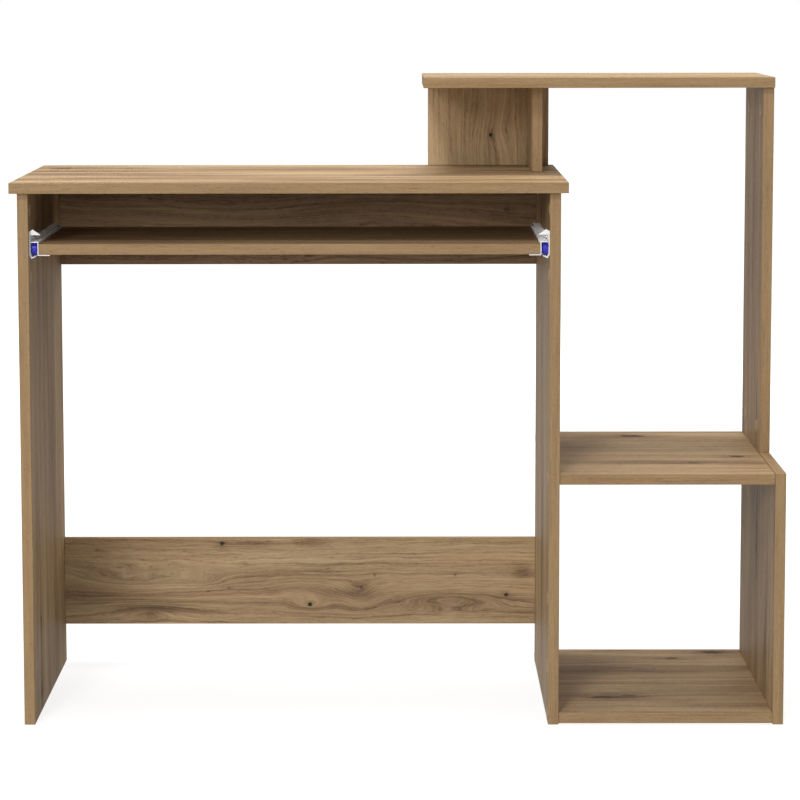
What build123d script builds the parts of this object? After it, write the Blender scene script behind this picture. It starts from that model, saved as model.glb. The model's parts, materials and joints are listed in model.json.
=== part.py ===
from build123d import *
import os

# Computer desk with a sliding keyboard tray, a small hutch and a tall side bay.
# Flat-pack carcass of 15 mm laminated chipboard, joined with cam locks, dowels and
# confirmat screws, with plastic cover caps over the holes that would show, and a
# keyboard tray hung on a pair of bottom-mount roller slides.
# Frame: millimetres, +Z up, front of the desk towards -Y, origin on the floor at the
# middle of the bounding box.

# ---------------------------------------------------------------- driving dimensions
T = 15.0                     # board thickness
WIDTH = 1075.0               # overall width
DEPTH = 400.0                # overall depth
HEIGHT = 901.0               # overall height
X_LEFT = -WIDTH / 2
X_RIGHT = WIDTH / 2
Y_FRONT = -DEPTH / 2
Y_BACK = DEPTH / 2

DESKTOP_W = 770.0            # desktop length
DESKTOP_TOP = 763.0          # height of the writing surface
OVERHANG = 10.0              # desktop past the legs, at both ends and in front
LEG_H = DESKTOP_TOP - T      # legs stand under the desktop

APRON_H = 134.5              # rear apron under the desktop
MODESTY_BOTTOM = 60.0
MODESTY_TOP = 193.0

SHELF_IN_W = 300.0           # clear width of the side unit
SHELF_FRONT = Y_FRONT + 11.5 # shelves sit 1.5 mm behind the side panels' front edges
MID_SHELF_TOP = 355.5
LOWER_SHELF_TOP = 16.5
LOWER_SIDE_H = 357.0
UPPER_SIDE_FRONT = -10.0
HUTCH_TOP_FRONT = -20.0
HUTCH_TOP_LEFT = 34.5
HUTCH_BACK_LEFT = 43.5
HUTCH_BACK_RIGHT = 224.5
DIVIDER_LEFT = 192.5
DIVIDER_FRONT = 28.0

TRAY_GAP = 12.7              # slide width on each side of the tray
TRAY_TOP = 677.0
TRAY_FRONT = -180.0
TRAY_BACK = 110.0

# roller slide, given for the left side and mirrored for the right
SHEET = 1.2                  # slide steel thickness
SLIDE_FRONT = -180.0
SLIDE_BACK = 100.0
CAB_FLANGE_TOP = 683.3       # top flange of the cabinet profile
CAB_FLANGE_W = 10.5
CAB_FLANGE_FRONT = -118.0
TRAY_FLANGE_TOP = 680.1      # top flange of the tray profile
TRAY_FLANGE_BACK = 74.0
FRONT_ROLLER_R = 8.9
FRONT_ROLLER_Y, FRONT_ROLLER_Z = -166.0, 669.6
REAR_ROLLER_R = 10.2
REAR_ROLLER_Y, REAR_ROLLER_Z = 86.0, 671.3
PIN_R = 2.0
BORE_R = 2.08                # running fit on the pin

# knock-down fittings
CAM_R, CAM_H, CAM_B = 7.4, 12.0, 34.0     # cam disc radius, height, distance from the joint
LEG_CAM_B = 24.0                          # shorter cam bolts between the legs and the desktop
CAP_R, CAP_H = 9.5, 1.2                   # cover cap over a cam or a screw head
CAM_HOLE_R = 7.5
BOLT_R, BOLT_PILOT = 2.4, 2.5             # threaded end of the cam bolt
BOLT_IN = 10.5
DOWEL_R, DOWEL_HOLE_R = 4.0, 4.06
DOWEL_SHALLOW, DOWEL_DEEP = 10.5, 20.5    # hole depths in the face and in the edge
SCREW_L, SCREW_R, SCREW_HEAD_R = 50.0, 3.4, 4.9   # confirmat screw: shank radius at the head
SCREW_THREAD_R = 3.1
MODESTY_FIX_Z = (80.0, 176.0)             # three steps of 32 mm apart
SPARE_HOLE_Z = (*MODESTY_FIX_Z, 632.0)    # and one just below the slides
SPARE_HOLE_Y = -170.0                     # the legs are drilled the same at the front, to be reversible
SHELF_SCREW_Y = (-170.0, 180.0)

# ---------------------------------------------------------------- derived positions
DESKTOP_RIGHT = X_LEFT + DESKTOP_W
LL_OUT = X_LEFT + OVERHANG                # left leg
LL_IN = LL_OUT + T
RL_OUT = DESKTOP_RIGHT - OVERHANG         # right leg
RL_IN = RL_OUT - T
LEG_FRONT = Y_FRONT + OVERHANG
SIDE_IN = RL_OUT + SHELF_IN_W             # lower right side panel
SIDE_OUT = SIDE_IN + T
MID_X = (LL_IN + RL_IN) / 2               # mid plane of the tray and its slides
APRON_BOTTOM = LEG_H - APRON_H
HUTCH_BOTTOM = DESKTOP_TOP
HUTCH_UNDER = HEIGHT - T
TRAY_LEFT = LL_IN + TRAY_GAP
TRAY_RIGHT = RL_IN - TRAY_GAP


def box(x0, x1, y0, y1, z0, z1):
    """A block between two corners."""
    return Pos((x0 + x1) / 2, (y0 + y1) / 2, (z0 + z1) / 2) * Box(x1 - x0, y1 - y0, z1 - z0)


def cyl(p, d, r, length, r2=None):
    """A cylinder, or a cone ending at r2, that starts at p and runs along d."""
    place = Plane(origin=p, z_dir=d).location
    low = (Align.CENTER, Align.CENTER, Align.MIN)
    if r2 is None:
        return place * Cylinder(r, length, align=low)
    return place * Cone(r, r2, length, align=low)


def along(p, d, s):
    return tuple(p[i] + d[i] * s for i in range(3))


# ---------------------------------------------------------------- boards
boards = {
    "desktop_panel": (X_LEFT, DESKTOP_RIGHT, Y_FRONT, Y_BACK, LEG_H, DESKTOP_TOP),
    "left_side_panel": (LL_OUT, LL_IN, LEG_FRONT, Y_BACK, 0, LEG_H),
    "right_side_panel": (RL_IN, RL_OUT, LEG_FRONT, Y_BACK, 0, LEG_H),
    "rear_apron": (LL_IN, RL_IN, Y_BACK - T, Y_BACK, APRON_BOTTOM, LEG_H),
    "modesty_panel": (LL_IN, RL_IN, Y_BACK - T, Y_BACK, MODESTY_BOTTOM, MODESTY_TOP),
    "mid_shelf": (RL_OUT, SIDE_IN, SHELF_FRONT, Y_BACK, MID_SHELF_TOP - T, MID_SHELF_TOP),
    "lower_shelf": (RL_OUT, SIDE_IN, SHELF_FRONT, Y_BACK, LOWER_SHELF_TOP - T, LOWER_SHELF_TOP),
    "lower_right_side_panel": (SIDE_IN, SIDE_OUT, LEG_FRONT, Y_BACK, 0, LOWER_SIDE_H),
    "upper_right_side_panel": (SIDE_IN, SIDE_OUT, UPPER_SIDE_FRONT, Y_BACK, LOWER_SIDE_H, HUTCH_UNDER),
    "hutch_top_panel": (HUTCH_TOP_LEFT, X_RIGHT, HUTCH_TOP_FRONT, Y_BACK, HUTCH_UNDER, HEIGHT),
    "hutch_back_panel": (HUTCH_BACK_LEFT, HUTCH_BACK_RIGHT, Y_BACK - T, Y_BACK, HUTCH_BOTTOM, HUTCH_UNDER),
    "hutch_divider": (DIVIDER_LEFT, DIVIDER_LEFT + T, DIVIDER_FRONT, Y_BACK - T, HUTCH_BOTTOM, HUTCH_UNDER),
    "keyboard_tray_panel": (TRAY_LEFT, TRAY_RIGHT, TRAY_FRONT, TRAY_BACK, TRAY_TOP - T, TRAY_TOP),
}
cuts = {name: [] for name in boards}
groups = {}


def add(node, solid):
    groups.setdefault(node, []).append(solid)


# ---------------------------------------------------------------- knock-down fittings
def cap(face, c):
    """A press-on cover cap with a bevelled rim. face is its centre on the board's face, c
    the outward normal."""
    rim = 0.9
    add("cover_caps", cyl(face, c, CAP_R, CAP_H - rim)
        + cyl(along(face, c, CAP_H - rim), c, CAP_R, rim, CAP_R - rim))


def cam_joint(prefix, edge_board, face_board, p, n, c, capped=False, reach=CAM_B):
    """One cam lock. p is on the joint plane at the middle of the edge board, n points from
    the edge board into the face board, c is the outward normal of the face of the edge
    board that the cam disc is let into, and reach is the disc's distance from the joint."""
    # pilot for the bolt's thread, clearance bore for its shank, and pocket for the disc
    cuts[face_board].append(cyl(p, n, BOLT_PILOT, BOLT_IN + 0.5))
    back = tuple(-v for v in n)
    cuts[edge_board].append(cyl(p, back, 4.0, reach - 2.0))
    centre = along(p, back, reach)
    floor = along(centre, c, T / 2 - CAM_H - 0.5)
    cuts[edge_board].append(cyl(floor, c, CAM_HOLE_R, CAM_H + 0.5))
    # cam bolt: threaded end, collar, shank and mushroom head
    bolt = cyl(p, n, BOLT_R, BOLT_IN - 1.5)
    bolt += cyl(along(p, n, BOLT_IN - 1.5), n, BOLT_R, 1.5, 1.2)
    bolt += cyl(p, back, 3.4, 1.6)
    bolt += cyl(along(p, back, 1.6), back, 2.1, reach - 5.6)
    bolt += cyl(along(p, back, reach - 4.0), back, 2.1, 1.4, 3.3)
    bolt += cyl(along(p, back, reach - 2.6), back, 3.3, 2.8)
    bolt += cyl(along(p, back, reach + 0.2), back, 3.3, 1.4, 2.0)
    add(prefix + "_cam_bolts", bolt)
    # cam disc with the pocket that grips the head, and a cross slot for the driver
    base = along(centre, c, T / 2 - CAM_H - 0.2)
    disc = cyl(base, c, CAM_R, CAM_H)
    disc -= cyl(along(p, back, reach - CAM_R - 1.0), back, 3.7, CAM_R + 3.6)
    top = along(base, c, CAM_H)
    side = (c[1], c[2], c[0])
    third = (c[2], c[0], c[1])
    for u, v in ((side, third), (third, side)):
        a = [abs(u[i]) * 6.4 + abs(v[i]) * 1.5 + abs(c[i]) * 4.0 for i in range(3)]
        disc -= Pos(*top) * Box(*a)
    add(prefix + "_cam_discs", disc)
    if capped:
        cap(along(centre, c, T / 2), c)


def screw_joint(node, face_board, edge_board, p, n):
    """One confirmat screw, from the outer face of the face board through it into the end
    of the edge board, under a cover cap. p is on the outer face and n points inwards."""
    cuts[face_board].append(cyl(p, n, SCREW_HEAD_R + 0.1, 3.0, SCREW_R + 0.1))
    cuts[face_board].append(cyl(p, n, SCREW_R + 0.1, T))
    cuts[edge_board].append(cyl(along(p, n, T), n, SCREW_THREAD_R + 0.1, SCREW_L - T + 1.0))
    screw = cyl(p, n, SCREW_HEAD_R, 2.9, SCREW_R)
    screw += cyl(along(p, n, 2.9), n, SCREW_R, T - 3.4)
    screw += cyl(along(p, n, T - 0.5), n, SCREW_THREAD_R, SCREW_L - T - 3.0)
    screw += cyl(along(p, n, SCREW_L - 3.5), n, SCREW_THREAD_R, 3.5, 1.0)
    screw -= extrude(Plane(origin=p, z_dir=n) * RegularPolygon(2.3, 6), amount=2.5, dir=n)
    add(node, screw)
    cap(p, tuple(-v for v in n))


def dowel_joint(prefix, edge_board, face_board, p, n):
    """One beech dowel, glued short end into the face board and long end into the edge."""
    back = tuple(-v for v in n)
    cuts[face_board].append(cyl(p, n, DOWEL_HOLE_R, DOWEL_SHALLOW))
    cuts[edge_board].append(cyl(p, back, DOWEL_HOLE_R, DOWEL_DEEP))
    start = along(p, n, DOWEL_SHALLOW - 0.5)
    pin = cyl(start, back, 3.2, 1.0, DOWEL_R)
    pin += cyl(along(start, back, 1.0), back, DOWEL_R, 28.0)
    pin += cyl(along(start, back, 29.0), back, DOWEL_R, 1.0, 3.2)
    add(prefix + "_dowels", pin)


UP, DOWN = (0, 0, 1), (0, 0, -1)
LEFT, RIGHT = (-1, 0, 0), (1, 0, 0)
REAR = (0, 1, 0)
Y_MID_BACK = Y_BACK - T / 2

# legs under the desktop
for board, x, inner in (
    ("left_side_panel", LL_OUT + T / 2, RIGHT),
    ("right_side_panel", RL_IN + T / 2, LEFT),
):
    for y in (-170.0, 150.0):
        cam_joint("desk", board, "desktop_panel", (x, y, LEG_H), UP, inner, True, LEG_CAM_B)
    for y in (-138.0, 118.0):
        dowel_joint("desk", board, "desktop_panel", (x, y, LEG_H), UP)
    # spare front holes of the leg, covered
    for z in SPARE_HOLE_Z:
        face = (x + inner[0] * T / 2, SPARE_HOLE_Y, z)
        cuts[board].append(cyl(face, (-inner[0], 0, 0), BOLT_PILOT, BOLT_IN + 0.5))
        cap(face, inner)

# apron and modesty panel between the legs
for board, heights, mid in (
    ("rear_apron", (645.5, 716.0), 680.75),
    ("modesty_panel", MODESTY_FIX_Z, 128.0),
):
    for face_board, x, n in (
        ("left_side_panel", LL_IN, LEFT),
        ("right_side_panel", RL_IN, RIGHT),
    ):
        for z in heights:
            cam_joint("desk", board, face_board, (x, Y_MID_BACK, z), n, REAR)
        dowel_joint("desk", board, face_board, (x, Y_MID_BACK, mid), n)
for x in (-330.0, MID_X, 25.0):
    dowel_joint("desk", "rear_apron", "desktop_panel", (x, Y_MID_BACK, LEG_H), UP)

# shelves between the right leg and the lower right side panel: screwed through the leg,
# and with cam locks at the side panel
for board, top, screw_z in (
    ("mid_shelf", MID_SHELF_TOP, MID_SHELF_TOP - T / 2),
    ("lower_shelf", LOWER_SHELF_TOP, 11.0),
):
    for y in SHELF_SCREW_Y:
        screw_joint("shelf_screws", "right_side_panel", board, (RL_IN, y, screw_z), RIGHT)
    for y in (-140.0, 150.0):
        cam_joint("shelf", board, "lower_right_side_panel", (SIDE_IN, y, top - T / 2), RIGHT, DOWN)
    for face_board, x, n in (
        ("right_side_panel", RL_OUT, LEFT),
        ("lower_right_side_panel", SIDE_IN, RIGHT),
    ):
        for y in (-108.0, 118.0):
            dowel_joint("shelf", board, face_board, (x, y, top - T / 2), n)

# upper right side panel on the lower one, and under the hutch top
X_MID_SIDE = SIDE_IN + T / 2
for y in (25.0, 155.0):
    cam_joint("hutch", "upper_right_side_panel", "lower_right_side_panel",
              (X_MID_SIDE, y, LOWER_SIDE_H), DOWN, LEFT, True)
for y in (57.0, 95.0):
    dowel_joint("hutch", "upper_right_side_panel", "lower_right_side_panel",
                (X_MID_SIDE, y, LOWER_SIDE_H), DOWN)
for y in (25.0, 155.0):
    cam_joint("hutch", "upper_right_side_panel", "hutch_top_panel",
              (X_MID_SIDE, y, HUTCH_UNDER), UP, LEFT, True)
for y in (57.0, 123.0):
    dowel_joint("hutch", "upper_right_side_panel", "hutch_top_panel",
                (X_MID_SIDE, y, HUTCH_UNDER), UP)

# hutch back and divider between the desktop and the hutch top
for face_board, z, n in (
    ("desktop_panel", HUTCH_BOTTOM, DOWN),
    ("hutch_top_panel", HUTCH_UNDER, UP),
):
    for x in (76.0, 176.0):
        cam_joint("hutch", "hutch_back_panel", face_board, (x, Y_MID_BACK, z), n, REAR)
    dowel_joint("hutch", "hutch_back_panel", face_board, (126.0, Y_MID_BACK, z), n)
    x = DIVIDER_LEFT + T / 2
    cam_joint("hutch", "hutch_divider", face_board, (x, 90.0, z), n, RIGHT)
    dowel_joint("hutch", "hutch_divider", face_board, (x, 52.0, z), n)
dowel_joint("hutch", "hutch_divider", "hutch_back_panel",
            (DIVIDER_LEFT + T / 2, Y_BACK - T, (HUTCH_BOTTOM + HUTCH_UNDER) / 2), REAR)

# ---------------------------------------------------------------- roller slides
WEB_OUT = LL_IN                       # cabinet profile lies on the leg
WEB_IN = LL_IN + SHEET
TRAY_WEB_IN = TRAY_LEFT               # tray profile lies on the tray's end
TRAY_WEB_OUT = TRAY_LEFT - SHEET
TRAY_UNDER = TRAY_TOP - T


def prism_y(points, y0, y1):
    """Extrudes a closed outline of (x, z) points from y0 to y1."""
    plane = Plane(origin=(0, y0, 0), x_dir=(1, 0, 0), z_dir=(0, -1, 0))
    return extrude(plane * Polygon(*points, align=None), amount=y1 - y0, dir=(0, 1, 0))


def prism_x(points, x0, x1):
    """Extrudes a closed outline of (y, z) points from x0 to x1."""
    plane = Plane(origin=(x0, 0, 0), x_dir=(0, 1, 0), z_dir=(1, 0, 0))
    return extrude(plane * Polygon(*points, align=None), amount=x1 - x0, dir=(1, 0, 0))


def prism_z(points, z0, z1):
    """Extrudes a closed outline of (x, y) points from z0 to z1."""
    plane = Plane(origin=(0, 0, z0), x_dir=(1, 0, 0), z_dir=(0, 0, 1))
    return extrude(plane * Polygon(*points, align=None), amount=z1 - z0, dir=(0, 0, 1))


# cabinet profile: web against the leg, with a folded lip that the rear roller runs on
cabinet = prism_y(
    [
        (WEB_OUT, CAB_FLANGE_TOP),
        (WEB_OUT, 661.6),
        (WEB_OUT + 2.6, 656.9),
        (WEB_OUT + 3.4, 656.9),
        (WEB_OUT + 8.9, 659.4),
        (WEB_OUT + 8.5, 660.5),
        (WEB_OUT + 3.2, 658.2),
        (WEB_IN, 661.9),
        (WEB_IN, CAB_FLANGE_TOP),
    ],
    SLIDE_FRONT,
    SLIDE_BACK,
)
# top flange that keeps the rear roller down, cut back at the front for fitting the tray
cabinet += prism_z(
    [
        (WEB_OUT, CAB_FLANGE_FRONT - 24.0),
        (WEB_OUT + 3.0, CAB_FLANGE_FRONT - 24.0),
        (WEB_OUT + CAB_FLANGE_W, CAB_FLANGE_FRONT),
        (WEB_OUT + CAB_FLANGE_W, SLIDE_BACK - 4.0),
        (WEB_OUT + CAB_FLANGE_W - 4.0, SLIDE_BACK),
        (WEB_OUT, SLIDE_BACK),
    ],
    CAB_FLANGE_TOP - SHEET,
    CAB_FLANGE_TOP,
)
# raised front of the web, and the tab bent in from it over the tray profile
cabinet += prism_x(
    [
        (SLIDE_FRONT, CAB_FLANGE_TOP - 1.0),
        (SLIDE_FRONT, 694.0),
        (SLIDE_FRONT + 16.0, 694.0),
        (SLIDE_FRONT + 44.0, CAB_FLANGE_TOP - 1.0),
    ],
    WEB_OUT,
    WEB_IN,
)
cabinet += prism_y(
    [
        (WEB_OUT, 689.4),
        (WEB_OUT, 694.0),
        (WEB_OUT + 4.9, 697.3),
        (WEB_OUT + 15.2, 690.2),
        (WEB_OUT + 15.2, 689.4),
    ],
    SLIDE_FRONT,
    SLIDE_FRONT + SHEET,
)
RAIL_SCREW_Y = (-142.0, -40.0, 62.0)
RAIL_SCREW_Z = 671.0
for y in RAIL_SCREW_Y:
    cabinet -= cyl((WEB_IN + 0.01, y, RAIL_SCREW_Z), LEFT, 3.56, SHEET + 0.02, 2.34)
    add("left_rail_screws",
        cyl((WEB_IN, y, RAIL_SCREW_Z), LEFT, 3.5, SHEET, 2.3)
        + cyl((WEB_OUT, y, RAIL_SCREW_Z), LEFT, 1.75, 9.5)
        + cyl((WEB_OUT - 9.5, y, RAIL_SCREW_Z), LEFT, 1.75, 2.5, 0.4)
        - Pos(WEB_IN, y, RAIL_SCREW_Z) * Box(1.6, 3.4, 0.8)
        - Pos(WEB_IN, y, RAIL_SCREW_Z) * Box(1.6, 0.8, 3.4))
    cuts["left_side_panel"].append(cyl((LL_IN, y, RAIL_SCREW_Z), LEFT, 1.8, 12.4))
    cuts["right_side_panel"].append(cyl((RL_IN, y, RAIL_SCREW_Z), RIGHT, 1.8, 12.4))
cabinet -= cyl((WEB_OUT - 1, FRONT_ROLLER_Y, FRONT_ROLLER_Z), RIGHT, PIN_R + 0.05, SHEET + 2)

# front roller pin, riveted into the cabinet profile
add("front_left_roller_pin",
    cyl((WEB_OUT + 0.1, FRONT_ROLLER_Y, FRONT_ROLLER_Z), RIGHT, PIN_R, 10.1)
    + cyl((WEB_IN, FRONT_ROLLER_Y, FRONT_ROLLER_Z), RIGHT, 3.4, 0.5)
    + cyl((WEB_OUT + 10.2, FRONT_ROLLER_Y, FRONT_ROLLER_Z), RIGHT, 3.4, 0.8, 2.8))


def roller(x, y, z, r, w):
    """A moulded roller on an X axis, from x to x + w, with a crowned rim, a groove in each
    side face and a bore for its pin."""
    body = cyl((x, y, z), RIGHT, r - 1.4, 1.4, r)
    body += cyl((x + 1.4, y, z), RIGHT, r, w - 2.3)
    body += cyl((x + w - 0.9, y, z), RIGHT, r, 0.9, r - 0.9)
    for x0, d in ((x, RIGHT), (x + w, LEFT)):
        ring = cyl((x0, y, z), d, r - 2.2, 1.2) - cyl((x0, y, z), d, 3.9, 1.2)
        body -= ring
    return body - cyl((x - 1, y, z), RIGHT, BORE_R, w + 2)


add("front_left_roller",
    roller(WEB_IN + 0.8, FRONT_ROLLER_Y, FRONT_ROLLER_Z, FRONT_ROLLER_R, 8.0))

# tray profile: flange under the tray, web on its end, and top flange over the front roller
tray_rail = prism_y(
    [
        (TRAY_WEB_IN + 15.5, TRAY_UNDER),
        (TRAY_WEB_IN + 15.5, TRAY_UNDER - SHEET),
        (TRAY_WEB_OUT + 1.2, TRAY_UNDER - SHEET),
        (TRAY_WEB_OUT + 0.35, TRAY_UNDER - SHEET + 0.35),
        (TRAY_WEB_OUT, TRAY_UNDER),
        (TRAY_WEB_OUT, TRAY_FLANGE_TOP),
        (TRAY_WEB_IN, TRAY_FLANGE_TOP),
        (TRAY_WEB_IN, TRAY_UNDER),
    ],
    SLIDE_FRONT,
    SLIDE_BACK,
)
tray_rail += box(TRAY_WEB_OUT - 9.0, TRAY_WEB_IN, SLIDE_FRONT, TRAY_FLANGE_BACK,
                 TRAY_FLANGE_TOP - SHEET, TRAY_FLANGE_TOP)
TRAY_SCREW_Y = (-150.0, -40.0, 70.0)
for y in TRAY_SCREW_Y:
    x = TRAY_WEB_IN + 8.5
    tray_rail -= cyl((x, y, TRAY_UNDER - 3), UP, 2.0, 6)
    add("left_tray_screws",
        cyl((x, y, TRAY_UNDER - SHEET - 1.6), UP, 2.6, 1.6, 3.6)
        + cyl((x, y, TRAY_UNDER - SHEET), UP, 1.75, 10.5)
        + cyl((x, y, TRAY_UNDER - SHEET + 10.5), UP, 1.75, 2.2, 0.4)
        - Pos(x, y, TRAY_UNDER - SHEET - 1.6) * Box(3.2, 0.8, 1.8)
        - Pos(x, y, TRAY_UNDER - SHEET - 1.6) * Box(0.8, 3.2, 1.8))
    cuts["keyboard_tray_panel"].append(cyl((x, y, TRAY_UNDER), UP, 1.8, 12.0))
    cuts["keyboard_tray_panel"].append(cyl((2 * MID_X - x, y, TRAY_UNDER), UP, 1.8, 12.0))
tray_rail -= cyl((TRAY_WEB_OUT - 1, REAR_ROLLER_Y, REAR_ROLLER_Z), RIGHT, PIN_R + 0.05, SHEET + 2)

# rear roller pin, riveted into the tray profile, and its roller
add("rear_left_roller_pin",
    cyl((TRAY_WEB_IN - 0.1, REAR_ROLLER_Y, REAR_ROLLER_Z), LEFT, PIN_R, 10.0)
    + cyl((TRAY_WEB_OUT, REAR_ROLLER_Y, REAR_ROLLER_Z), LEFT, 3.4, 0.4)
    + cyl((TRAY_WEB_OUT - 8.9, REAR_ROLLER_Y, REAR_ROLLER_Z), LEFT, 3.4, 0.7, 2.8))
add("rear_left_roller",
    roller(TRAY_WEB_OUT - 8.7, REAR_ROLLER_Y, REAR_ROLLER_Z, REAR_ROLLER_R, 8.0))

add("cabinet_rail_left", cabinet)
add("tray_rail_left", tray_rail)

# the right-hand slide mirrors the left one
MIRROR = Plane(origin=(MID_X, 0, 0), z_dir=(1, 0, 0))
for left, right in (
    ("cabinet_rail_left", "cabinet_rail_right"),
    ("tray_rail_left", "tray_rail_right"),
    ("left_rail_screws", "right_rail_screws"),
    ("left_tray_screws", "right_tray_screws"),
    ("front_left_roller_pin", "front_right_roller_pin"),
    ("front_left_roller", "front_right_roller"),
    ("rear_left_roller_pin", "rear_right_roller_pin"),
    ("rear_left_roller", "rear_right_roller"),
):
    for solid in list(groups[left]):
        add(right, mirror(solid, about=MIRROR))

# ---------------------------------------------------------------- write the nodes
for name, corners in boards.items():
    board = box(*corners)
    for tool in cuts[name]:
        board -= tool
    add(name, board)

os.makedirs("parts", exist_ok=True)
for name, solids in groups.items():
    flat = [s for item in solids for s in item.solids()]
    shape = flat[0] if len(flat) == 1 else Compound(children=flat)
    export_step(shape, f"parts/{name}.step")
print(len(groups), "nodes,", sum(len(i.solids()) for g in groups.values() for i in g), "solids")
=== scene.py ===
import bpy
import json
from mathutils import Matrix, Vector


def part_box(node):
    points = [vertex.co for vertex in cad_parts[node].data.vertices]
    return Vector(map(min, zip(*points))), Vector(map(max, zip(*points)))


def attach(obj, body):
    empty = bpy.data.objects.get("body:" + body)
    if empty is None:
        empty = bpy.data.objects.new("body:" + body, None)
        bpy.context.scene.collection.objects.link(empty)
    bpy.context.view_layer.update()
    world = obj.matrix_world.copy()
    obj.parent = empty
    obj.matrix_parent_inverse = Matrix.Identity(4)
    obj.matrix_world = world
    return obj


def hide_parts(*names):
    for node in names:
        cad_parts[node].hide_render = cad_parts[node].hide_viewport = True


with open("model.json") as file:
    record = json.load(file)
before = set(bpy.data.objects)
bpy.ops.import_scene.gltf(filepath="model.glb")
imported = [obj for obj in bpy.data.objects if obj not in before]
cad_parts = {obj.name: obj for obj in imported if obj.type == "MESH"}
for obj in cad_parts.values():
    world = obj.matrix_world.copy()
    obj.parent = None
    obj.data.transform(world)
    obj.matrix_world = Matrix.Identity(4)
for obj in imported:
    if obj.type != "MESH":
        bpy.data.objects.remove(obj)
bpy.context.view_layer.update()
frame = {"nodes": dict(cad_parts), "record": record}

import json
import math

import bmesh
import bpy
from mathutils import Matrix, Vector

NODES = frame["nodes"]
BODY_OF = {n: b for b, ns in frame["record"]["behaviour"]["bodies"].items() for n in ns}
MM = 0.001
AXES = "XYZ"


# ------------------------------------------------------------------ node helpers
class Tree:
    """A short hand for building a shader's nodes."""

    def __init__(self, tree):
        self.t = tree

    def add(self, kind, ins=None, **props):
        n = self.t.nodes.new(kind)
        for k, v in props.items():
            setattr(n, k, v)
        for k, v in (ins or {}).items():
            s = n.inputs[k]
            if isinstance(v, bpy.types.NodeSocket):
                self.t.links.new(v, s)
            else:
                s.default_value = v
        return n

    def math(self, op, a, b=None, c=None, clamp=False):
        n = self.add("ShaderNodeMath", operation=op, use_clamp=clamp)
        for i, v in enumerate((a, b, c)):
            if v is None:
                continue
            if isinstance(v, bpy.types.NodeSocket):
                self.t.links.new(v, n.inputs[i])
            else:
                n.inputs[i].default_value = v
        return n.outputs[0]

    def mul(self, a, b):
        return self.math("MULTIPLY", a, b)

    def plus(self, a, b):
        return self.math("ADD", a, b)

    def vec(self, x, y, z):
        return self.add("ShaderNodeCombineXYZ", {0: x, 1: y, 2: z}).outputs[0]

    def noise(self, v, scale=1.0, detail=2.0, rough=0.5, dist=0.0, lac=2.0):
        return self.add("ShaderNodeTexNoise", {"Vector": v, "Scale": scale, "Detail": detail,
                        "Roughness": rough, "Lacunarity": lac, "Distortion": dist}).outputs["Fac"]

    def step(self, v, a, b, lo=0.0, hi=1.0):
        """A smooth step from lo at a to hi at b."""
        n = self.add("ShaderNodeMapRange", {"Value": v, "From Min": a, "From Max": b,
                     "To Min": lo, "To Max": hi}, interpolation_type="SMOOTHSTEP")
        return n.outputs["Result"]

    def lin(self, v, a, b, lo=0.0, hi=1.0):
        return self.add("ShaderNodeMapRange", {"Value": v, "From Min": a, "From Max": b,
                        "To Min": lo, "To Max": hi}).outputs["Result"]

    def mix(self, f, a, b, blend="MIX"):
        n = self.add("ShaderNodeMix", data_type="RGBA", blend_type=blend)
        for k, v in ((0, f), (6, a), (7, b)):
            if isinstance(v, bpy.types.NodeSocket):
                self.t.links.new(v, n.inputs[k])
            else:
                n.inputs[k].default_value = v if k == 0 else (*v, 1.0)
        return n.outputs[2]

    def ramp(self, f, stops, smooth=False):
        n = self.add("ShaderNodeValToRGB", {"Fac": f})
        r = n.color_ramp
        r.interpolation = "B_SPLINE" if smooth else "LINEAR"
        while len(r.elements) < len(stops):
            r.elements.new(0.5)
        for e, (p, c) in zip(r.elements, stops):
            e.position = p
            e.color = (*c, 1.0)
        return n.outputs["Color"]


def material(name):
    m = bpy.data.materials.new(name)
    m.use_nodes = True
    for n in list(m.node_tree.nodes):
        m.node_tree.nodes.remove(n)
    t = Tree(m.node_tree)
    bsdf = t.add("ShaderNodeBsdfPrincipled")
    out = t.add("ShaderNodeOutputMaterial")
    m.node_tree.links.new(bsdf.outputs[0], out.inputs[0])
    return m, t, bsdf


def lin(r, g, b):
    """sRGB 0-255 to linear."""
    f = lambda c: c / 12.92 if c <= 0.04045 else ((c + 0.055) / 1.055) ** 2.4
    return tuple(f(c / 255) for c in (r, g, b))


# ------------------------------------------------------------------ mesh helpers
def finish_mesh(name, bm, mats, node, sharp=40, weighted=True, extra_nodes=()):
    me = bpy.data.meshes.new(name)
    bm.normal_update()
    bm.to_mesh(me)
    bm.free()
    for m in mats:
        me.materials.append(m)
    me.polygons.foreach_set("use_smooth", [True] * len(me.polygons))
    me.set_sharp_from_angle(angle=math.radians(sharp))
    ob = bpy.data.objects.new(name, me)
    bpy.context.scene.collection.objects.link(ob)
    if weighted == "board":
        board_normals(me, sharp)
    elif weighted:
        w = ob.modifiers.new("weighted", "WEIGHTED_NORMAL")
        w.keep_sharp = True
        w.weight = 100
    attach(ob, BODY_OF[node])
    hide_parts(node, *extra_nodes)
    return ob


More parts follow.
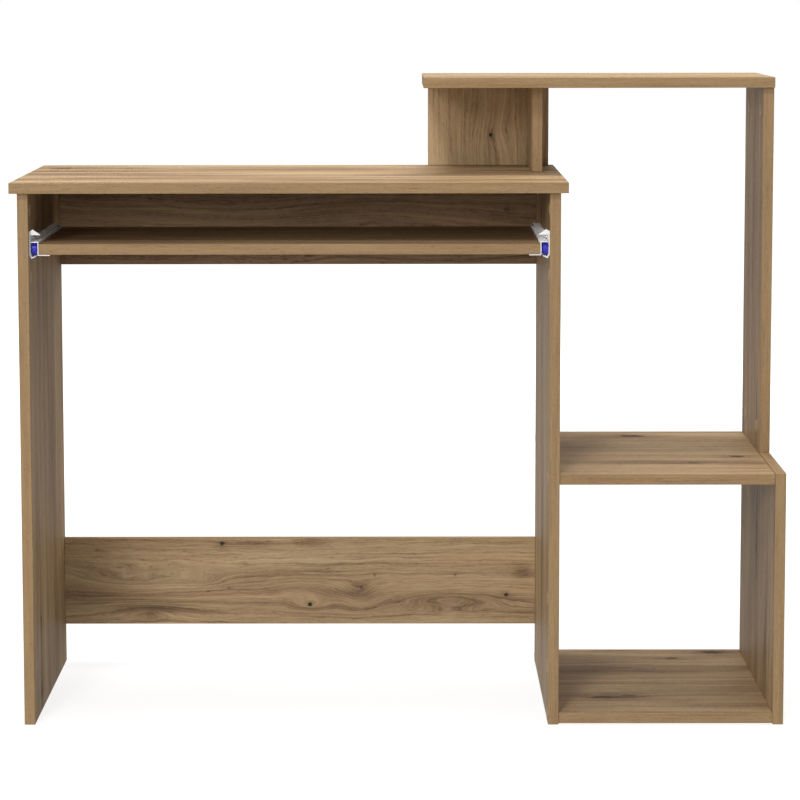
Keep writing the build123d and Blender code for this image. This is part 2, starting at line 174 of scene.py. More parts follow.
def board_normals(me, sharp):
    """Keeps the large faces of a board dead flat in shading, up to the start of the broken edge."""
    def plane(p):
        a = max(range(3), key=lambda i: abs(p.normal[i]))
        return (a, p.normal[a] > 0, round(p.center[a], 5)) if abs(p.normal[a]) > 0.99999 else None

    area = {}
    for p in me.polygons:
        area[plane(p)] = area.get(plane(p), 0.0) + p.area
    flat = {p.index: Vector([(1.0 if plane(p)[1] else -1.0) if i == plane(p)[0] else 0.0 for i in range(3)])
            for p in me.polygons if plane(p) and area[plane(p)] > 1.5e-3}
    touching = {}
    for p in me.polygons:
        if p.index in flat:
            for v in p.vertices:
                touching.setdefault(v, []).append(flat[p.index])
    limit = math.cos(math.radians(sharp))
    normals = [Vector(c.vector) for c in me.corner_normals]
    for p in me.polygons:
        for i in p.loop_indices:
            if p.index in flat:
                normals[i] = flat[p.index]
                continue
            near = [n for n in touching.get(me.loops[i].vertex_index, ()) if n.dot(p.normal) > limit]
            if near:
                normals[i] = max(near, key=lambda n: n.dot(p.normal))
    me.normals_split_custom_set([tuple(n) for n in normals])


def clean_copy(node):
    """The CAD shape as a bmesh with its shared corners joined and its flat faces whole."""
    bm = bmesh.new()
    bm.from_mesh(NODES[node].data)
    bmesh.ops.remove_doubles(bm, verts=bm.verts[:], dist=2e-6)
    bmesh.ops.dissolve_degenerate(bm, edges=bm.edges[:], dist=1e-7)
    bmesh.ops.dissolve_limit(bm, angle_limit=math.radians(0.4), verts=bm.verts[:],
                             edges=bm.edges[:], use_dissolve_boundaries=False)
    return bm


def extent(bm):
    lo = Vector((1e9,) * 3)
    hi = Vector((-1e9,) * 3)
    for v in bm.verts:
        lo = Vector(map(min, lo, v.co))
        hi = Vector(map(max, hi, v.co))
    return lo, hi


def lathe(bm, profile, centre, axis, segments=64, closed=True, material_index=0):
    """Turns a profile of (distance along the axis, radius) points round an axis."""
    z = Vector(axis).normalized()
    x = Vector((0, 0, 1)) if abs(z.z) < 0.9 else Vector((1, 0, 0))
    y = z.cross(x).normalized()
    x = y.cross(z)
    c = Vector(centre)
    rings = []
    for d, r in profile:
        if r < 1e-7:
            rings.append([bm.verts.new(c + z * d)])
        else:
            rings.append([bm.verts.new(c + z * d + (x * math.cos(a) + y * math.sin(a)) * r)
                          for a in (2 * math.pi * i / segments for i in range(segments))])
    pairs = list(zip(rings, rings[1:])) + ([(rings[-1], rings[0])] if closed else [])
    made = []
    for p, q in pairs:
        for i in range(segments):
            j = (i + 1) % segments
            if len(p) == 1 and len(q) == 1:
                break
            if len(p) == 1:
                made.append(bm.faces.new((p[0], q[j], q[i])))
            elif len(q) == 1:
                made.append(bm.faces.new((p[i], p[j], q[0])))
            else:
                made.append(bm.faces.new((p[i], p[j], q[j], q[i])))
    for f in made:
        f.material_index = material_index
    return made


def rounded(points, radii, n=4, closed=True):
    """A polygon with its corners rounded: radii is one number or one for each corner."""
    pts = [Vector(p) for p in points]
    if not hasattr(radii, "__len__"):
        radii = [radii] * len(pts)
    out = []
    for i, p in enumerate(pts):
        r = radii[i]
        if r <= 0 or (not closed and i in (0, len(pts) - 1)):
            out.append(tuple(p))
            continue
        a, b = pts[i - 1] - p, pts[(i + 1) % len(pts)] - p
        la, lb = a.length, b.length
        a.normalize()
        b.normalize()
        half = a.angle(b) / 2
        cut = min(r / math.tan(half), 0.48 * la, 0.48 * lb)
        rr = cut * math.tan(half)
        mid = p + (a + b).normalized() * (rr / math.sin(half))
        start, end = p + a * cut, p + b * cut
        u, v = start - mid, end - mid
        sweep = u.angle(v)
        cross = u.x * v.y - u.y * v.x
        for k in range(n + 1):
            t = sweep * k / n * (1 if cross > 0 else -1)
            out.append((mid.x + u.x * math.cos(t) - u.y * math.sin(t),
                        mid.y + u.x * math.sin(t) + u.y * math.cos(t)))
    return out


# ------------------------------------------------------------------ oak laminate
def millimetres(t, axes):
    """The object coordinates along the given axes, in millimetres."""
    p = t.add("ShaderNodeTexCoord").outputs["Object"]
    s = t.add("ShaderNodeSeparateXYZ", {0: p})
    return [t.mul(s.outputs[AXES.index(a)], 1000.0) for a in axes]


def bell(t, u, v, u0, v0, su, sv):
    """exp(-d2) about (u0, v0), with half widths su and sv in millimetres."""
    a = t.math("POWER", t.math("ABSOLUTE", t.mul(t.plus(u, -u0), 1 / su)), 2.0)
    b = t.math("POWER", t.math("ABSOLUTE", t.mul(t.plus(v, -v0), 1 / sv)), 2.0)
    return t.math("EXPONENT", t.mul(t.plus(a, b), -1.0))


def oak(name, u, v, seed, node, seen, bumps=(), knots=(), shades=(), warp=55.0, contrast=1.0, tone=0.0,
        ring=8.0, wiggle=9.0, fine=1.0):
    """Printed knotty oak, with the grain along u. Heights of equal F are the growth rings:
    bumps (u0, v0, half length, half width, height) bend them round knots and into
    cathedrals, knots (u0, v0, ru, rv, depth) are the dark hearts, and shades
    (u0, v0, su, sv, amount) lighten or darken an area. They are given for the face that
    looks along seen; the other face has them turned half round."""
    m, t, bsdf = material(name)
    w = next(a for a in AXES if a not in (u, v))
    U, V, W = millimetres(t, (u, v, w))
    S = t.plus(t.mul(W, 0.21), seed * 7.31)
    cu, cv, cw = (500 * (a + b) for a, b in zip(*([c[AXES.index(x)] for x in (u, v, w)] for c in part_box(node))))
    turned = t.step(t.mul(W, seen), seen * cw - 1.0, seen * cw + 1.0, 1.0, 0.0)
    FU, FV = (t.plus(t.mul(a, t.lin(turned, 0, 1, 1, -1)), t.mul(turned, 2 * c)) for a, c in ((U, cu), (V, cv)))
    warp1 = t.plus(t.noise(t.vec(t.mul(U, 1 / 330), t.mul(V, 1 / 95), S), 1.0, 1.0, 0.45), -0.5)
    warp2 = t.plus(t.noise(t.vec(t.mul(U, 1 / 48), t.mul(V, 1 / 13), t.plus(S, 31.7)), 1.0, 4.0, 0.6), -0.5)
    F = t.plus(V, t.plus(t.mul(warp1, warp), t.mul(warp2, wiggle)))
    for u0, v0, su, sv, h in bumps:
        F = t.plus(F, t.mul(bell(t, FU, FV, u0, v0, su, sv), h))
    rings = t.plus(t.noise(t.vec(t.mul(F, 1 / ring), t.mul(U, 1 / 900), S), 1.0, 3.0, 0.62), -0.5)
    broad = t.plus(t.noise(t.vec(t.mul(U, 1 / 420), t.mul(F, 1 / 48), t.plus(S, 12.3)), 1.0, 1.0, 0.5), -0.5)
    streak = t.plus(t.noise(t.vec(t.mul(U, 1 / 120), t.mul(F, 1 / 2.4), t.plus(S, 5.1)), 1.0, 2.0, 0.6), -0.5)
    fibre = t.plus(t.noise(t.vec(t.mul(U, 1 / 22), t.mul(F, 1 / 1.3), t.plus(S, 9.9)), 1.0, 3.0, 0.7), -0.5)
    speck = t.plus(t.noise(t.vec(t.mul(U, 1 / 4.5), t.mul(V, 1 / 1.1), t.plus(S, 88.0)), 1.0, 2.0, 0.7), -0.5)
    pore = t.noise(t.vec(t.mul(U, 1 / 11.0), t.mul(F, 1 / 1.05), t.plus(S, 3.3)), 1.0, 1.0, 0.5)
    pores = t.mul(t.step(pore, 0.57, 0.70), t.step(rings, 0.10, -0.10, 0.25, 1.0))
    # the dark late wood of each ring is a thin broken line
    late = t.noise(t.vec(t.mul(F, 1 / (0.36 * ring)), t.mul(U, 1 / 210), t.plus(S, 21.0)), 1.0, 2.0, 0.6)
    gaps = t.noise(t.vec(t.mul(U, 1 / 55), t.mul(F, 1 / 6.0), t.plus(S, 44.0)), 1.0, 2.0, 0.6)
    lines = t.mul(t.step(late, 0.52, 0.66), t.step(gaps, 0.36, 0.60))
    T = t.plus(t.mul(rings, 0.85 * contrast), t.mul(broad, 0.80 * contrast))
    T = t.plus(T, t.plus(t.mul(streak, 0.62 * contrast), t.mul(fibre, 0.55)))
    T = t.plus(T, t.mul(lines, -0.24 * contrast * fine))
    # tone moves the whole print lighter or darker; on the apron it is painted shade and on the hutch back painted
    # light.
    T = t.plus(t.plus(T, 0.60 + tone), t.plus(t.mul(pores, -0.26 * fine), t.mul(speck, 0.30 * fine)))
    # shades are mostly print patches; the positive one on the hutch back is a painted patch of light.
    for u0, v0, su, sv, a in shades:
        T = t.plus(T, t.mul(bell(t, FU, FV, u0, v0, su, sv), a))
    colour = t.ramp(T, [
        (0.10, lin(98, 74, 54)), (0.30, lin(129, 102, 75)), (0.46, lin(150, 122, 90)),
        (0.60, lin(166, 138, 103)), (0.78, lin(181, 153, 116)), (0.95, lin(194, 167, 130)),
    ])
    # some rings lean to olive, some to red brown
    hue = t.noise(t.vec(t.mul(U, 1 / 500), t.mul(F, 1 / 26), t.plus(S, 77.0)), 1.0, 1.0, 0.5)
    colour = t.mix(t.step(hue, 0.38, 0.64, 0.0, 0.5), colour, (0.93, 1.0, 1.03), "MULTIPLY")
    height = t.plus(t.mul(fibre, 0.5), t.mul(pores, -0.8))
    rag = t.plus(t.noise(t.vec(t.mul(U, 1 / 4.5), t.mul(V, 1 / 2.2), t.plus(S, 61.0)), 1.0, 3.0, 0.7), -0.5)
    torn = t.plus(t.noise(t.vec(t.mul(U, 1 / 17.0), t.mul(F, 1 / 4.2), t.plus(S, 93.0)), 1.0, 3.0, 0.65), -0.5)
    threads = t.step(t.plus(streak, fibre), -0.10, 0.14, 1.0, 0.16)
    for u0, v0, ru, rv, depth in knots:
        big = min(1.0, max(0.0, (ru - 5.0) / 9.0))
        near = bell(t, FU, FV, u0, v0, ru, rv)
        halo = t.mul(bell(t, FU, FV, u0, v0, ru * (3.2 - 0.9 * big), rv * 2.2), threads)
        colour = t.mix(t.mul(halo, 0.75 * depth), colour, lin(92, 71, 52))
        edge = t.plus(near, t.plus(t.mul(rag, 1.3 - 0.4 * big), t.mul(torn, 1.9 * big)))
        core = t.step(edge, 0.34, 0.62, 0.0, depth)
        colour = t.mix(core, colour, lin(38 + 14 * big, 32 + 9 * big, 29 + 5 * big))
        if big > 0.3:
            heart = t.mul(t.step(near, 0.55, 0.86), t.step(t.plus(rag, torn), -0.16, 0.14))
            colour = t.mix(t.mul(heart, 0.6), colour, lin(112, 86, 62))
        height = t.plus(height, t.mul(core, -0.7))
    m.node_tree.links.new(colour, bsdf.inputs["Base Color"])
    rough = t.plus(t.mul(rings, 0.10), t.plus(t.mul(pores, 0.10), 0.50))
    m.node_tree.links.new(rough, bsdf.inputs["Roughness"])
    bump = t.add("ShaderNodeBump", {"Height": height, "Strength": 0.35, "Distance": 0.00012})
    m.node_tree.links.new(bump.outputs[0], bsdf.inputs["Normal"])
    bsdf.inputs["IOR"].default_value = 1.30
    return m


def band(g):
    """The plain edge band, with its fine grain along g."""
    m, t, bsdf = material("edge_band_" + g.lower())
    others = [a for a in AXES if a != g]
    G, A, B = millimetres(t, (g, *others))
    slow = t.noise(t.vec(t.mul(G, 1 / 170), t.mul(A, 1 / 6), t.mul(B, 1 / 6)), 1.0, 2.0, 0.5)
    fine = t.noise(t.vec(t.mul(G, 1 / 34), t.mul(A, 1 / 0.9), t.mul(B, 1 / 0.9)), 1.0, 3.0, 0.6)
    speck = t.noise(t.vec(t.mul(G, 1 / 3.2), t.mul(A, 1 / 1.2), t.mul(B, 1 / 1.2)), 1.0, 2.0, 0.7)
    pore = t.noise(t.vec(t.mul(G, 1 / 8.0), t.mul(A, 1 / 0.95), t.mul(B, 1 / 0.95)), 1.0, 1.0, 0.5)
    pores = t.step(pore, 0.59, 0.71)
    T = t.plus(t.mul(t.plus(slow, -0.5), 0.6), t.mul(t.plus(fine, -0.5), 0.8))
    T = t.plus(t.plus(T, 0.49), t.plus(t.mul(pores, -0.24), t.mul(t.plus(speck, -0.5), 0.5)))
    colour = t.ramp(T, [(0.12, lin(127, 99, 68)), (0.42, lin(149, 121, 86)),
                        (0.62, lin(159, 131, 95)), (0.9, lin(175, 147, 109))])
    m.node_tree.links.new(colour, bsdf.inputs["Base Color"])
    m.node_tree.links.new(t.plus(t.mul(fine, 0.16), 0.42), bsdf.inputs["Roughness"])
    h = t.plus(t.mul(fine, 0.7), t.mul(pores, -0.6))
    bump = t.add("ShaderNodeBump", {"Height": h, "Strength": 0.3, "Distance": 0.00012})
    m.node_tree.links.new(bump.outputs[0], bsdf.inputs["Normal"])
    bsdf.inputs["IOR"].default_value = 1.30
    return m


def grainy(name, stops, cell, rough, bump_mm, metal=0.0, ior=1.45, stretch=(1, 1, 1)):
    """Colour, roughness and a fine surface from one grain of cell millimetres."""
    m, t, bsdf = material(name)
    c = millimetres(t, AXES)
    p = t.vec(*(t.mul(a, s / cell) for a, s in zip(c, stretch)))
    fine = t.noise(p, 1.0, 3.0, 0.55)
    slow = t.noise(p, 0.11, 2.0, 0.5)
    T = t.plus(t.mul(fine, 0.55), t.mul(slow, 0.45))
    m.node_tree.links.new(t.ramp(T, stops), bsdf.inputs["Base Color"])
    m.node_tree.links.new(t.lin(slow, 0.3, 0.7, *rough), bsdf.inputs["Roughness"])
    b = t.add("ShaderNodeBump", {"Height": fine, "Strength": 0.4, "Distance": bump_mm * MM})
    m.node_tree.links.new(b.outputs[0], bsdf.inputs["Normal"])
    bsdf.inputs["Metallic"].default_value = metal
    bsdf.inputs["IOR"].default_value = ior
    return m


CHIP = grainy("chipboard_core", [(0.3, lin(120, 88, 54)), (0.5, lin(176, 140, 94)), (0.7, lin(206, 172, 124))],
              1.6, (0.8, 0.95), 0.5)
COATED = grainy("coated_steel", [(0.3, (0.88, 0.885, 0.89)), (0.5, (0.91, 0.915, 0.92)), (0.7, (0.94, 0.945, 0.95))],
                1.1, (0.40, 0.52), 0.03)
COATED.node_tree.nodes["Principled BSDF"].inputs["Sheen Weight"].default_value = 1.0
COATED.node_tree.nodes["Principled BSDF"].inputs["Sheen Roughness"].default_value = 0.45
BLUE = grainy("roller_plastic", [(0.3, lin(42, 34, 168)), (0.5, lin(52, 44, 186)), (0.7, lin(66, 58, 202))],
              0.8, (0.24, 0.36), 0.03)
ZINC = grainy("zinc_steel", [(0.3, (0.56, 0.57, 0.58)), (0.5, (0.66, 0.67, 0.68)), (0.7, (0.75, 0.75, 0.74))],
              0.7, (0.24, 0.42), 0.03, metal=1.0)
DIECAST = grainy("cam_zinc", [(0.3, (0.42, 0.42, 0.43)), (0.5, (0.52, 0.52, 0.53)), (0.7, (0.62, 0.62, 0.61))],
                 0.5, (0.38, 0.55), 0.05, metal=1.0)
BEECH = grainy("dowel_beech", [(0.3, lin(178, 132, 88)), (0.5, lin(200, 156, 110)), (0.7, lin(216, 176, 130))],
               0.9, (0.55, 0.7), 0.06)
CAP = grainy("cover_cap", [(0.3, lin(164, 137, 106)), (0.5, lin(174, 147, 115)), (0.7, lin(184, 157, 125))],
             0.9, (0.40, 0.5), 0.04, stretch=(1, 1, 0.08))
BANDS = [band(a) for a in AXES]


# ------------------------------------------------------------------ boards
def laminate_board(node, thick, face, radius=0.8):
    bm = clean_copy(node)
    lo, hi = extent(bm)
    eps = 1e-5

    def sides(v):
        return {(i, s) for i in range(3) for s, p in ((0, lo), (1, hi)) if abs(v.co[i] - p[i]) < eps}

    outer = [e for e in bm.edges if len(sides(e.verts[0]) & sides(e.verts[1])) >= 2]
    bmesh.ops.bevel(bm, geom=outer, offset=radius * MM, offset_type="OFFSET", segments=3,
                    profile=0.5, affect="EDGES", clamp_overlap=True)
    bm.normal_update()
    t = AXES.index(thick)
    for f in bm.faces:
        n = f.normal
        centre = f.calc_center_median()
        rim = min(min(centre[i] - lo[i], hi[i] - centre[i]) for i in range(3))
        flat = rim < eps
        if flat and abs(n[t]) > 0.99:
            f.material_index = 0
        elif flat or rim < radius * MM * 0.5:
            a = max((i for i in range(3) if i != t), key=lambda i: abs(n[i]))
            g = next(i for i in range(3) if i not in (t, a))
            f.material_index = 1 + g
        else:
            f.material_index = 4
    bmesh.ops.triangulate(bm, faces=[f for f in bm.faces if len(f.verts) > 4])
    return finish_mesh(node + "_laminate", bm, [face, *BANDS, CHIP], node, sharp=50, weighted="board")


BOARDS = {
    "desktop_panel": ("Z", oak("oak_desktop", "X", "Y", 1.0, "desktop_panel", 1, warp=30, contrast=1.3, tone=0.0, ring=11,
        shades=[(-250, -50, 300, 10, -0.34), (-125, -142, 85, 7, -0.44), (62, 0, 70, 9, -0.36),
                (185, 60, 80, 10, -0.36), (-380, 45, 150, 11, -0.28), (-30, 95, 200, 9, -0.26),
                (-480, 108, 60, 13, -0.28), (120, -90, 110, 8, -0.26), (-250, 20, 260, 22, 0.10)],
        knots=[(-500, 118, 18, 7, 1.0), (-400, 118, 24, 5.0, 0.8), (-492, -160, 6, 3.5, 0.6)])),
    "left_side_panel": ("X", oak("oak_left_leg", "Z", "Y", 2.0, "left_side_panel", 1, warp=45,
        knots=[(29, -108, 14, 8.0, 1.0), (131, -108, 10, 6.0, 0.9)],
        shades=[(110, -108, 150, 8, -0.34), (330, 54, 260, 8, -0.22), (300, -30, 400, 12, -0.12)],
        bumps=[(29, -108, 60, 14, 9)])),
    "right_side_panel": ("X", oak("oak_right_leg", "Z", "Y", 3.0, "right_side_panel", -1, warp=45)),
    # The apron is darkened all over (tone -0.18) and its grain flattened (contrast 0.72): painted shade for its place
    # in the recess under the desktop.
    "rear_apron": ("Y", oak("oak_apron_painted_shade", "X", "Z", 4.0, "rear_apron", -1, warp=60, contrast=0.72, tone=-0.18,
        knots=[(162, 696, 6, 4, 0.45)])),
    "modesty_panel": ("Y", oak("oak_modesty", "X", "Z", 5.0, "modesty_panel", -1, warp=22, contrast=0.95,
        ring=7.5, wiggle=8, fine=0.62,
        knots=[(-271, 185, 3.6, 3.4, 0.9), (-137, 90, 4, 3.4, 1.0), (163, 105, 3.8, 3.0, 0.9),
               (-462, 175, 4, 1.5, 0.45), (-235, 153, 5, 1.4, 0.4), (-261, 116, 3, 1.6, 0.4),
               (-293, 111, 3, 1.6, 0.4), (-38, 136, 3, 3.0, 0.45), (-59, 117, 3, 3.0, 0.5),
               (85, 136, 3, 2.4, 0.45), (-110, 146, 3, 2.0, 0.25)],
        bumps=[(-400, 126, 120, 20, 24), (-300, 128, 34, 12, 11), (-262, 150, 40, 10, 9), (-137, 90, 26, 9, 12),
               (88, 98, 92, 12, -18), (62, 98, 34, 9, -8), (-60, 104, 24, 20, 12), (-150, 118, 44, 14, -10),
               (163, 105, 20, 7, 5), (-385, 82, 55, 12, -13)],
        shades=[(130, 165, 240, 22, 0.14), (-375, 84, 62, 9, -0.42), (-440, 110, 70, 22, -0.12),
                (50, 98, 120, 15, -0.20), (-60, 112, 22, 13, -0.22), (-222, 184, 32, 8, -0.26),
                (-135, 185, 26, 9, -0.30), (187, 140, 16, 14, -0.30), (-95, 108, 46, 10, -0.18),
                (-200, 165, 120, 18, 0.10), (-120, 150, 120, 16, 0.08)])),
    "mid_shelf": ("Z", oak("oak_mid_shelf", "X", "Y", 6.0, "mid_shelf", 1, warp=30, contrast=0.85,
        knots=[(353, 155, 20, 10.0, 0.9), (486, -36, 13, 8.0, 0.9), (419, -92, 8, 5.0, 0.8)],
        shades=[(372, -80, 150, 15, -0.15), (330, 150, 60, 18, -0.12), (400, -150, 70, 10, -0.10)],
        bumps=[(353, 155, 55, 20, 13), (486, -36, 40, 16, 9)])),
    "lower_shelf": ("Z", oak("oak_lower_shelf", "X", "Y", 7.0, "lower_shelf", 1, warp=34,
        shades=[(300, -100, 60, 22, -0.28), (300, 60, 120, 14, -0.16)],
        knots=[(480, 178, 18, 10.0, 0.9), (412, 140, 9, 5.0, 0.8), (292, -98, 20, 8.0, 0.75),
               (330, -88, 11, 5.0, 0.6)],
        bumps=[(412, 140, 50, 18, 12), (305, -96, 50, 16, 10)])),
    "lower_right_side_panel": ("X", oak("oak_lower_side", "Z", "Y", 8.0, "lower_right_side_panel", -1, warp=40,
        knots=[(242, 11, 12, 5.0, 1.0), (214, 13, 7, 4.0, 0.9)],
        shades=[(230, 11, 70, 8, -0.40), (105, -99, 40, 12, -0.24), (250, -110, 200, 9, -0.14)])),
    "upper_right_side_panel": ("X", oak("oak_upper_side", "Z", "Y", 9.0, "upper_right_side_panel", -1, warp=40,
        knots=[(372, 186, 12, 5.0, 1.0)],
        shades=[(405, 28, 60, 8, -0.40), (620, 90, 200, 10, -0.16)])),
    "hutch_top_panel": ("Z", oak("oak_hutch_top", "X", "Y", 10.0, "hutch_top_panel", 1, warp=34, tone=0.05)),
    # The hutch back is lightened all over (tone 0.08): painted light in the shade under the hutch top.
    "hutch_back_panel": ("Y", oak("oak_hutch_back_painted_light", "Z", "X", 11.0, "hutch_back_panel", -1, warp=19, ring=4.9,
        wiggle=7, contrast=0.90, tone=0.08, fine=0.95,
        knots=[(809, 137.5, 3.3, 2.7, 1.0)],
        bumps=[(820, 157, 30, 13, 9), (809, 137, 14, 7, 5), (862, 120, 40, 20, -6)],
        # The first shade (+0.14 at the lower left) is a painted patch of key light, not print.
        shades=[(800, 60, 90, 22, 0.14), (835, 119, 70, 14, -0.12), (790, 140, 40, 12, -0.08)])),
    "hutch_divider": ("X", oak("oak_divider", "Z", "Y", 12.0, "hutch_divider", -1, warp=40)),
    "keyboard_tray_panel": ("Z", oak("oak_tray", "X", "Y", 13.0, "keyboard_tray_panel", 1, warp=34, contrast=0.9)),
}
for node, (thick, mat) in BOARDS.items():
    laminate_board(node, thick, mat)


# ------------------------------------------------------------------ slides and rollers
def pressed(node, mat, radius):
    """A folded or turned metal piece with its edges broken."""
    bm = clean_copy(node)
    bm.normal_update()
    edges = [e for e in bm.edges if len(e.link_faces) == 2 and e.calc_face_angle(0) > math.radians(28)]
    bmesh.ops.bevel(bm, geom=edges, offset=radius * MM, offset_type="OFFSET", segments=2,
                    profile=0.5, affect="EDGES", clamp_overlap=True)
    bmesh.ops.triangulate(bm, faces=[f for f in bm.faces if len(f.verts) > 4])
    return finish_mesh(node + "_finished", bm, [mat], node, sharp=48)


for side in ("left", "right"):
    pressed(f"cabinet_rail_{side}", COATED, 0.25)
    pressed(f"tray_rail_{side}", COATED, 0.25)


def roller(node, profile_radius):
    """A moulded wheel: crowned tread, a sunk web and a raised hub round the bore."""
    lo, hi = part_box(node)
    c = [(a + b) / 2 for a, b in zip(lo, hi)]
    x0, w, r = lo[0], hi[0] - lo[0], profile_radius * MM
    out = [(0, r - 1.4 * MM), (1.4 * MM, r), (w - 0.9 * MM, r), (w, r - 0.9 * MM),
           (w, r - 2.2 * MM), (w - 1.2 * MM, r - 2.35 * MM), (w - 1.2 * MM, 4.1 * MM),
           (w, 3.9 * MM), (w, 2.08 * MM), (0, 2.08 * MM), (0, 3.9 * MM),
           (1.2 * MM, 4.1 * MM), (1.2 * MM, r - 2.35 * MM), (0, r - 2.2 * MM)]
    radii = [0.3, 0.7, 0.6, 0.35, 0.3, 0.25, 0.25, 0.3, 0.12, 0.12, 0.3, 0.25, 0.25, 0.3]
    bm = bmesh.new()
    lathe(bm, rounded(out, [q * MM for q in radii]), (x0, c[1], c[2]), (1, 0, 0), 96)
    bmesh.ops.recalc_face_normals(bm, faces=bm.faces[:])
    return finish_mesh(node + "_wheel", bm, [BLUE], node, sharp=60)


for node in BODY_OF:
    if node.endswith("_roller"):
        roller(node, 8.9 if node.startswith("front") else 10.2)

def caps(node):
    """Moulded press-on caps: a thin rim that rises in a low dome, one on each cap of the node."""
    src = clean_copy(node)
    left = set(src.verts)
    bm = bmesh.new()
    while left:
        island, todo = [], [left.pop()]
        while todo:
            v = todo.pop()
            island.append(v)
            for e in v.link_edges:
                o = e.other_vert(v)
                if o in left:
                    left.remove(o)
                    todo.append(o)
        lo = [min(v.co[i] for v in island) for i in range(3)]
        hi = [max(v.co[i] for v in island) for i in range(3)]
        a = min(range(3), key=lambda i: hi[i] - lo[i])
        # the base is the wide end
        wide = max(island, key=lambda v: sum((v.co[i] - (lo[i] + hi[i]) / 2) ** 2 for i in range(3) if i != a) * 1e6
                   + (0.5 if any(abs(v.co[a] - b) < 1e-6 for b in (lo[a], hi[a])) else 0.0))
        up = 1.0 if abs(wide.co[a] - lo[a]) < abs(wide.co[a] - hi[a]) else -1.0
        base = [(l + h) / 2 for l, h in zip(lo, hi)]
        base[a] = lo[a] if up > 0 else hi[a]
        r, h = (max(hi[i] - lo[i] for i in range(3))) / 2, hi[a] - lo[a]
        n = 10
        dome = [(h * (0.36 + 0.64 * math.sin(k / n * math.pi / 2)), (r - 0.5 * MM) * math.cos(k / n * math.pi / 2))
                for k in range(n + 1)]
        dome[-1] = (h, 0.0)
        profile = [(0.0, 0.0), (0.0, r), (0.22 * h, r), *dome]
        axis = [0.0, 0.0, 0.0]
        axis[a] = up
        lathe(bm, profile, base, axis, 48, closed=False)
    src.free()
    bmesh.ops.recalc_face_normals(bm, faces=bm.faces[:])
    return finish_mesh(node + "_moulded", bm, [CAP], node, sharp=35)


for node in BODY_OF:
    if node in BOARDS or "rail_left" in node or "rail_right" in node or node.endswith("_roller"):
        continue
    if node == "cover_caps":
        caps(node)
    elif "dowels" in node:
        pressed(node, BEECH, 0.3)
    elif "cam_discs" in node:
        pressed(node, DIECAST, 0.22)
    else:
        pressed(node, ZINC, 0.15)


# ------------------------------------------------------------------ floor, light, camera
def floor():
    bm = bmesh.new()
    bmesh.ops.create_circle(bm, cap_ends=True, segments=96, radius=14.0)
    me = bpy.data.meshes.new("studio_floor")
    bm.to_mesh(me)
    bm.free()
    ob = bpy.data.objects.new("studio_floor", me)
    ob.location = (0, 0, -0.0004)
    bpy.context.scene.collection.objects.link(ob)
    m, t, bsdf = material("studio_floor")
    p = t.add("ShaderNodeTexCoord").outputs["Object"]
    n = t.noise(p, 3.0, 3.0, 0.5)
    m.node_tree.links.new(t.ramp(n, [(0.3, (0.25, 0.25, 0.25)), (0.7, (0.27, 0.27, 0.27))]), bsdf.inputs["Base Color"])
    bsdf.inputs["Roughness"].default_value = 0.9
    bsdf.inputs["Emission Color"].default_value = (1, 1, 1, 1)
    far = t.add("ShaderNodeVectorMath", {0: p}, operation="LENGTH").outputs["Value"]
    m.node_tree.links.new(t.step(far, 0.7, 2.4, 0.82, 1.0), bsdf.inputs["Emission Strength"])
    me.materials.append(m)
    ob.visible_diffuse = False
    ob.visible_glossy = False
    ob.visible_shadow = False


floor()

world = bpy.data.worlds.new("studio")
bpy.context.scene.world = world
world.use_nodes = True
for n in list(world.node_tree.nodes):
    world.node_tree.nodes.remove(n)
wt = Tree(world.node_tree)
ray = wt.add("ShaderNodeLightPath")
direction = wt.add("ShaderNodeSeparateXYZ", {0: wt.add("ShaderNodeTexCoord").outputs["Generated"]})
soft = wt.plus(wt.lin(direction.outputs[2], -0.6, 0.6, 0.0, 0.04), wt.lin(direction.outputs[1], -0.8, 0.8, 0.56, 0.20))
# the pale floor in front throws light up
soft = wt.plus(soft, wt.mul(wt.step(direction.outputs[2], -0.03, -0.14, 0.0, 0.50), wt.lin(direction.outputs[1], -0.8, 0.4, 1.0, 0.2)))
soft = wt.mul(soft, wt.lin(wt.math("ABSOLUTE", direction.outputs[0]), 0.0, 1.0, 1.0, 0.50))
soft = wt.mul(soft, wt.lin(direction.outputs[0], 0.1, 1.0, 1.0, 0.85))
soft = wt.mul(soft, wt.lin(direction.outputs[0], -1.0, -0.1, 0.72, 1.0))
back_shine = wt.mul(wt.step(direction.outputs[2], -0.03, 0.04, 0.62, 0.34), wt.step(direction.outputs[0], -0.03, 0.08, 0.96, 0.60))
seen = wt.math("MAXIMUM", ray.outputs["Is Camera Ray"], wt.mul(ray.outputs["Is Glossy Ray"],
                wt.lin(direction.outputs[1], -0.8, 0.8, 0.9, back_shine)))
level = wt.math("MAXIMUM", soft, seen)
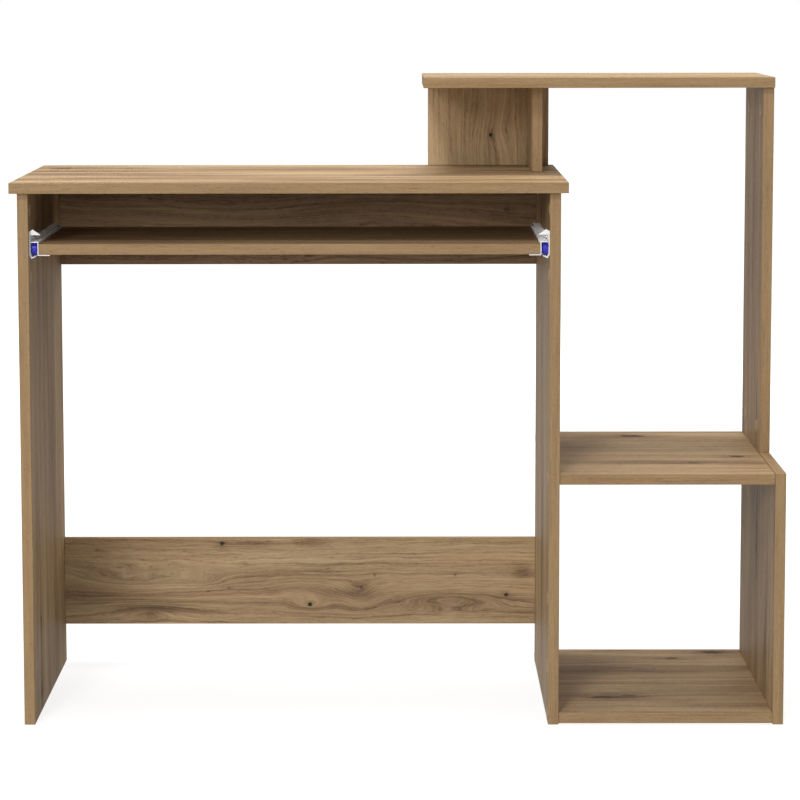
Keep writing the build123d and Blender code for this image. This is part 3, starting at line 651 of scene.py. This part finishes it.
bg = wt.add("ShaderNodeBackground", {"Color": (1, 1, 1, 1), "Strength": level})
wo = wt.add("ShaderNodeOutputWorld")
world.node_tree.links.new(bg.outputs[0], wo.inputs[0])


def area(name, at, target, size, watts, gloss=True):
    d = bpy.data.lights.new(name, "AREA")
    d.energy = watts
    d.shape = "RECTANGLE"
    d.size = d.size_y = size
    ob = bpy.data.objects.new(name, d)
    ob.visible_glossy = gloss
    ob.location = at
    ob.rotation_euler = (Vector(target) - Vector(at)).to_track_quat("-Z", "Y").to_euler()
    bpy.context.scene.collection.objects.link(ob)
    return ob


MID = (0.0, 0.0, 0.45)
area("key_front_left", (-3.8, -9.2, 3.6), MID, 2.2, 226)
area("key_high", (-1.8, -6.8, 6.95), MID, 1.3, 262)
area("low_left", (-4.9, -3.4, 1.15), MID, 1.2, 44, gloss=False)
area("overhead", (-0.2, 0.35, 3.6), MID, 2.0, 94, gloss=False)
area("back_fill", (0.6, 4.2, 1.9), MID, 2.6, 100, gloss=False)
area("side_fill", (4.2, 0.6, 1.6), MID, 2.0, 48, gloss=False)

TILT, YAW, ROLL = math.radians(6.1508), math.radians(-0.27476), math.radians(-0.09128)
fwd = Vector((math.sin(YAW) * math.cos(TILT), math.cos(YAW) * math.cos(TILT), -math.sin(TILT)))
right = Vector((math.cos(YAW), -math.sin(YAW), 0.0))
up = right.cross(fwd)
r2 = right * math.cos(ROLL) + up * math.sin(ROLL)
u2 = -right * math.sin(ROLL) + up * math.cos(ROLL)
cam_data = bpy.data.cameras.new("camera")
cam_data.lens = 128.6835
cam_data.sensor_width = 36.0
cam_data.sensor_fit = "HORIZONTAL"
cam_data.shift_x, cam_data.shift_y = 0.0236674, -0.13
cam_data.clip_end = 100.0
camera = bpy.data.objects.new("camera", cam_data)
m = Matrix((r2, u2, -fwd)).transposed().to_4x4()
m.translation = Vector((-6.909, -4118.0, 1028.786)) * MM
camera.matrix_world = m
bpy.context.scene.collection.objects.link(camera)
bpy.context.scene.camera = camera
bpy.context.scene.view_settings.view_transform = "Standard"

bpy.context.view_layer.update()
